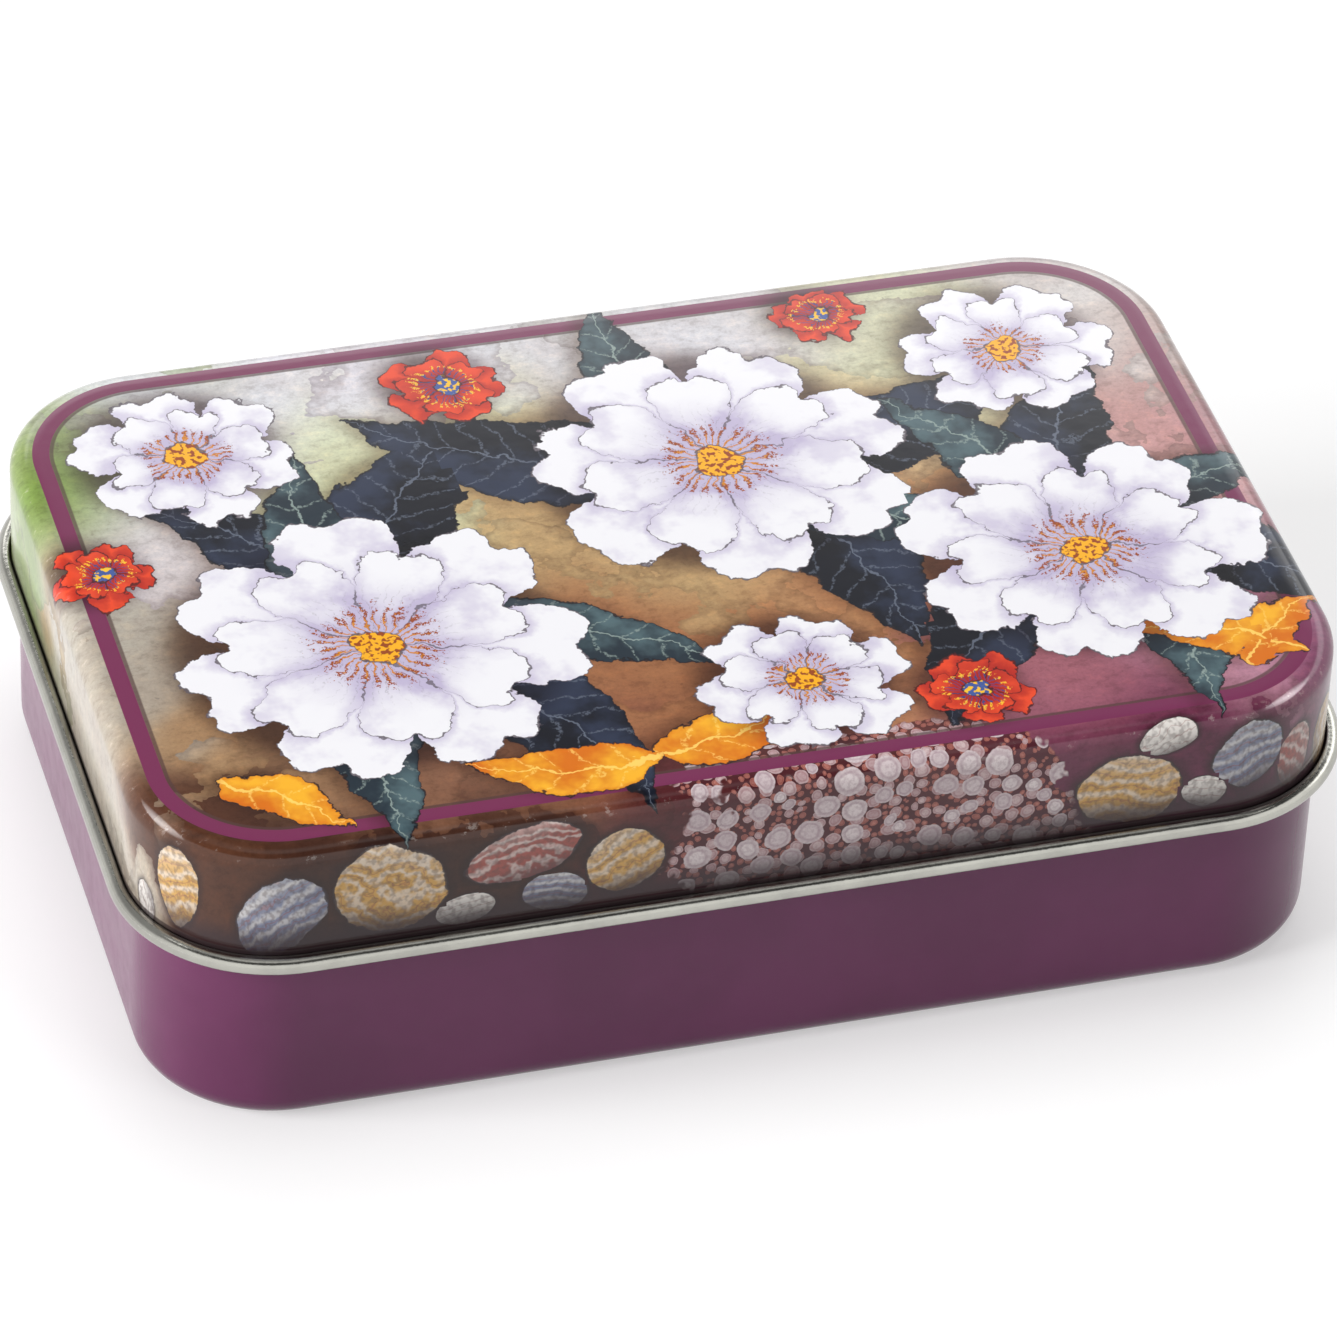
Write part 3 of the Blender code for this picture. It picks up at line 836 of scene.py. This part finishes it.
def gravel(tree, hand, under, amount):
    """Round pebbles of three sizes in dark gaps: in each of three Voronoi patterns, discs
    that nearly touch, with a pale heart and rim."""
    place = vector_math(tree, "ADD", hand.place,
                        vector_math(tree, "MULTIPLY", hand.stray, (0.3, 0.3, 0)))
    patch = calc(tree, "ADD", amount, times(tree, less(tree, hand.wash, 0.5), 2))
    inside = ramp(tree, patch, 0.45, 0.55)
    made = mix(tree, times(tree, inside, 0.9), under, PEBBLE_GAPS)
    for scale, fill, rim in PEBBLES:
        pattern = {"Vector": place, "Scale": scale, "Randomness": 0.75}
        cells = put(tree, "ShaderNodeTexVoronoi", pattern, voronoi_dimensions="2D")
        spheres = put(tree, "ShaderNodeTexVoronoi", pattern, voronoi_dimensions="2D",
                      feature="N_SPHERE_RADIUS")
        luck = parts_of(tree, cells.outputs["Color"])
        reach = calc(tree, "DIVIDE", cells.outputs["Distance"], spheres.outputs["Radius"])
        disc = ramp(tree, reach, 0.86, 0.92, 1, 0)
        tint = mix(tree, times(tree, luck[1], 0.5), fill, rim)
        tint = layered(tree, tint, ((reach, (0.45, 0.6, 0, 0.55), rim),
                                    (reach, (0.6, 0.8, 0, 0.5), fill),
                                    (hand.grain, (0.35, 0.6, 0.35, 0), rim)))
        made = mix(tree, times(tree, disc, inside), made, tint)
    return made


def stone_layer(tree, hand, under):
    """Large smooth stones, each in its own tint, with wavy bands, paler at the back edge
    and darker at the front one."""
    placed = attribute(tree, "stones")
    tinted = parts_of(tree, placed)[2]
    strayed = vector_math(tree, "ADD", vector_math(tree, "MULTIPLY", placed, (1, 1, 0)),
                          vector_math(tree, "MULTIPLY", hand.stray, STONE_STRAY))
    along, across, _ = parts_of(tree, strayed)
    distance = times(tree, less(tree, length_of(tree, strayed), 1), STONE_EDGE)
    seed = calc(tree, "ROUND", times(tree, tinted, 100))
    luck = put(tree, "ShaderNodeTexWhiteNoise", {"W": seed}, noise_dimensions="1D")
    chance = parts_of(tree, luck.outputs["Color"])
    tint = layered(tree, STONE_BLUE, [(tinted, (start, start + 0.05), color)
                                      for start, color in STONE_TINTS])
    bands = calc(tree, "ADD", times(tree, across, 2.2),
                 times(tree, hand.wash, calc(tree, "ADD", times(tree, chance[2], 5), 1.5)))
    wave = calc(tree, "PINGPONG", bands, 0.5)
    paint = layered(tree, tint, ((wave, (0.04, 0.34, 0.55, 0), STONE_BAND),
                                 (wave, (0.42, 0.5, 0, 0.5), STONE_VEIN),
                                 (across, (-0.1, -1, 0, 0.65), STONE_DARK),
                                 (across, (0.2, 1, 0, 0.3), STONE_LIGHT),
                                 (hand.stipple, (0.3, 0.62, 0.45, 0), STONE_SPECK)))
    shaded = layered(tree, under, ((distance, (0, 1.1, 0.6, 0), STONE_SHADOW),))
    return cover(tree, hand, shaded, distance, paint, STONE_LINE)


def printed_picture():
    """Varnished print: washes, pebbles, the frame's line, leaves and flowers, one over the
    other, each with a printed shadow under it."""
    made, tree, shader = new_finish("printed_tinplate", {
        "Roughness": PRINT_ROUGHNESS, "Specular IOR Level": PRINT_GLOSS,
        "Coat Weight": VARNISH_WEIGHT, "Coat Roughness": VARNISH_ROUGHNESS})
    hand = Hand(tree)
    on_ground, on_leaves, pebbled = parts_of(tree, attribute(tree, "soft"))
    ground = attribute(tree, "ground", "Color")
    other = attribute(tree, "other_ground", "Color")
    torn = noise(tree, hand.place, 0.055, 6, 0.55, "2D")
    ground = layered(tree, ground, ((torn, (0.455, 0.5, 0, 0.4), TORN_TONE),), "MULTIPLY")
    ground = mix(tree, ramp(tree, torn, 0.5, 0.502), ground, other)
    strokes = put(tree, "ShaderNodeMapping", {"Vector": hand.place, "Scale": (0.75, 1.15, 1)})
    fleck = noise(tree, strokes.outputs[0], 0.9, 5, 0.7, "2D")
    picture = layered(tree, ground, ((hand.wash, (0.35, 0.65, 0, 0.45), POOL_TONE),
                                     (fleck, (0.3, 0.5, 0.3, 0), FLECK_TONE),
                                     (fleck, (0.5, 0.72, 0, 0.5), FLECK_LIFT),
                                     (hand.grain, (0.3, 0.6, 0.13, 0), GRAIN_TONE)),
                      "MULTIPLY")
    picture = gravel(tree, hand, picture, pebbled)
    picture = stone_layer(tree, hand, picture)
    line = frame_distance(tree, hand)
    half_width = FRAME_LINE["half_width"]
    beside = calc(tree, "ABSOLUTE", calc(tree, "ADD", line, half_width + FRAME_GAP))
    on_line = (half_width - PAINT_BLUR, half_width + PAINT_BLUR, 1, 0)
    picture = layered(tree, picture, ((beside, (0.1, 0.24, 0.8, 0), INNER_LINE),
                                      (calc(tree, "ABSOLUTE", line), on_line, FRAME_COLOR)))
    picture = mix(tree, on_ground, picture, SHADOW_TONE, "MULTIPLY")
    for name, (_, *colors) in LEAVES.items():
        picture = leaf_layer(tree, hand, picture, name, *colors)
    picture = mix(tree, on_leaves, picture, LEAF_SHADOW_TONE, "MULTIPLY")
    for name, (_, *form) in FLOWERS.items():
        picture = flower_layer(tree, hand, picture, name, *form)
    down = attribute(tree, "over_edge", "Fac")
    from_wear = calc(tree, "ABSOLUTE", less(tree, down, WEAR_PLACE))
    rubbed = times(tree, ramp(tree, from_wear, 0.1, 0.7, 1, 0), ramp(tree, fleck, 0.6, 0.68))
    picture = mix(tree, times(tree, rubbed, WEAR_COVER), picture, WEAR_COLOR)
    # Painted shade: the skirt darkens towards the curl, more on the front than elsewhere
    at_front = ramp(tree, parts_of(tree, hand.place)[1], -34, -28, 0.85, 0.3)
    shaded = times(tree, at_front, ramp(tree, down, 6.4, 9.2))
    picture = mix(tree, shaded, picture, SKIRT_PAINTED_SHADE)
    # Painted shade in the crevice just above the curl
    picture = layered(tree, picture, ((down, CREVICE, CREVICE_PAINTED_SHADE),))
    tree.links.new(picture, shader.inputs["Base Color"])
    skin = noise(tree, object_place(tree), SKIN_SCALE, 3)
    tree.links.new(relief(tree, shader, skin, SKIN_STRENGTH, SKIN_DEPTH),
                   shader.inputs["Coat Normal"])
    return made


def make_lid():
    """The lid's shell, its top and skirt printed and its curl and inside bare."""
    half_window = TONGUE_WIDTH / 2 + WINDOW_SIDE_GAP
    sides = [TONGUE_SPACING / 2 - half_window, TONGUE_SPACING / 2 + half_window]
    flat_half = (lid_half[0] - lid_edge, lid_half[1] - lid_edge)
    flat_corner = lid_corner - lid_edge
    plan = plan_grid(flat_half, flat_corner, sides, LID_SPACING)
    numbers = np.arange(plan.shape[0] * plan.shape[1]).reshape(plan.shape[:2])
    first_ring = border(numbers)
    ring = border(plan)
    core, normals = plan_normals(ring, flat_half, flat_corner)
    section, window_rows = lid_rows()
    shifted = section + [[lid_edge, 0]]
    rows = swept(shifted, core, normals, flat_corner)
    unrolled = np.cumsum(np.hypot(*np.diff(section, axis=0).T))[:, None, None]
    top = np.pad(plan.reshape(-1, 2), ((0, 0), (0, 1)), constant_values=section[0, 1])
    points = np.concatenate([top, rows[1:].reshape(-1, 3)])
    around = ring + normals * unrolled
    sheet = np.concatenate([plan.reshape(-1, 2), around.reshape(-1, 2)]) / MM
    table = np.concatenate([first_ring[None], numbers.size + np.arange(
        (len(section) - 1) * len(ring)).reshape(-1, len(ring))])
    beside = np.roll(table, -1, 1)
    walls = np.stack([table[:-1], table[1:], beside[1:], beside[:-1]], -1)
    kept = np.ones(walls.shape[:2], bool)
    kept[np.ix_(window_rows, by_tongue(ring, flat_half[1], half_window))] = False
    flat = np.stack([numbers[:-1, :-1], numbers[1:, :-1], numbers[1:, 1:], numbers[:-1, 1:]],
                    -1).reshape(-1, 4)
    faces = np.concatenate([flat, walls[kept]])
    tin = bare_tinplate()
    piece = shell_piece("lid_shell", points, faces.tolist(), np.zeros(len(faces), int),
                        [printed_picture(), tin, tin], "lid", "lid")
    over_edge = np.concatenate([np.zeros(numbers.size), np.repeat(unrolled, len(ring))]) / MM
    store_picture(piece.data, sheet, over_edge, faces)


make_lid()

# Floor and light
# A plain white sweep under a soft lamp on the left and a softbox overhead. Bounced light takes
# a darker floor and room than the camera sees. Reflections see the white floor, a pale horizon,
# a dark ceiling in front, a window behind on the right, and a card near each front corner.
FLOOR_REACH = 3
FLOOR_SEEN = (0.6, 0.6, 0.6, 1)
FLOOR_GLOW = 0.42
FLOOR_BOUNCING = (0.42, 0.42, 0.42, 1)
ROOM_BOUNCING = 0.22
CEILING = 0.06
HORIZON_EDGE = (0.6, 0.68, 1.25, CEILING)         # two heights, and the brightness at each
ZENITH_EDGE = (0.88, 0.96, CEILING, 0.75)
REAR_FADE = (0.25, 0.6, 1, 0.42)
WINDOW_FOOT = (0.3, 0.45, 1, 3)
WINDOW_HEAD = (0.572, 0.605, 3, 0.08)
WINDOW_LEFT = (-0.2, 0.02)
LAMPS = [  # name, place and size in metres, watts
    ("key", (-1.4, -0.1, 0.53), 0.8, 28), ("softbox", (0.1, 0.25, 1.5), 1, 9.2),
    ("rear", (0.4, 1.4, 0.8), 0.8, 4), ("front", (0.95, -1.15, 0.6), 0.8, 6.2),
]
CARDS = [  # name, front corner in millimetres, way out from it
    ("left_card", (-44.6, -24), (-0.77, 0.26, 0.58)),
    ("right_card", (40.1, -28.7), (0.79, -0.24, 0.565)),
]
CARD_DISTANCE = 7 * MM
CARD_WIDTH = 11 * MM
CARD_HEIGHT = 4.2 * MM
CARD_SPREAD = math.radians(50)
CARD_POWER = 0.00012
floor_data = bpy.data.meshes.new("floor")
floor_data.from_pydata([(x * FLOOR_REACH, y * FLOOR_REACH, 0) for x, y in (
    (-1, -1), (1, -1), (1, 1), (-1, 1))], [], [(0, 1, 2, 3)])
floor = linked("floor", floor_data)
floor_finish, floor_tree, floor_shader = new_finish("floor_paper", {
    "Roughness": 0.9, "Specular IOR Level": 0, "Emission Color": (1, 1, 1, 1)})
floor_rays = put(floor_tree, "ShaderNodeLightPath").outputs
seen = calc(floor_tree, "MAXIMUM", floor_rays["Is Camera Ray"], floor_rays["Is Glossy Ray"])
seen = calc(floor_tree, "MAXIMUM", seen, floor_rays["Is Transmission Ray"])
paper = mix(floor_tree, seen, FLOOR_BOUNCING, FLOOR_SEEN)
floor_tree.links.new(paper, floor_shader.inputs["Base Color"])
floor_tree.links.new(times(floor_tree, seen, FLOOR_GLOW),
                     floor_shader.inputs["Emission Strength"])
floor_data.materials.append(floor_finish)


def lamp(name, place, size, power):
    """A square soft lamp that looks at the case and isn't mirrored in it."""
    data = bpy.data.lights.new(name, "AREA")
    data.size = size
    data.energy = power
    made = linked(name, data)
    made.location = place
    made.rotation_euler = (AIM - made.location).to_track_quat("-Z", "Y").to_euler()
    made.visible_glossy = False
    return made


def card(name, corner, way):
    """A small oval card close to a front corner of the lid, given in millimetres. Only glossy
    rays see it, so it adds a highlight to the corner's edges and no light."""
    made = lamp(name, Vector((*corner, lid_high.z / MM)) * MM + Vector(way) * CARD_DISTANCE,
                CARD_WIDTH, CARD_POWER)
    made.data.shape = "ELLIPSE"
    made.data.size_y = CARD_HEIGHT
    made.data.spread = CARD_SPREAD
    made.rotation_euler = Vector(way).to_track_quat("Z", "Y").to_euler()
    made.visible_glossy = True
    made.visible_diffuse = False
    made.visible_camera = False


for values in LAMPS:
    lamp(*values)
for values in CARDS:
    card(*values)
world = bpy.data.worlds.new("studio")
bpy.context.scene.world = world
world.use_nodes = True
room = world.node_tree
rays = put(room, "ShaderNodeLightPath").outputs
direction = put(room, "ShaderNodeTexCoord").outputs["Generated"]
sideways, depth, height = parts_of(room, direction)
over_front = calc(room, "MAXIMUM", ramp(room, height, *HORIZON_EDGE),
                  ramp(room, height, *ZENITH_EDGE))
behind = ramp(room, height, *REAR_FADE)
window = calc(room, "MINIMUM", ramp(room, height, *WINDOW_FOOT),
              ramp(room, height, *WINDOW_HEAD))
behind = calc(room, "MULTIPLY_ADD", ramp(room, sideways, *WINDOW_LEFT),
              less(room, window, behind), behind)
at_front = ramp(room, depth, 0.2, -0.2)
ceiling = calc(room, "MULTIPLY_ADD", at_front, less(room, over_front, behind), behind)
mirrored = times(room, rays["Is Glossy Ray"], ceiling)
mirrored = calc(room, "MAXIMUM", mirrored, rays["Is Transmission Ray"])
strength = calc(room, "MAXIMUM", rays["Is Camera Ray"], mirrored)
strength = calc(room, "MAXIMUM", strength, times(room, rays["Is Diffuse Ray"], ROOM_BOUNCING))
room.links.new(strength, room.nodes["Background"].inputs["Strength"])
room.nodes["Background"].inputs["Color"].default_value = (1, 1, 1, 1)
bpy.context.scene.view_settings.view_transform = "Standard"
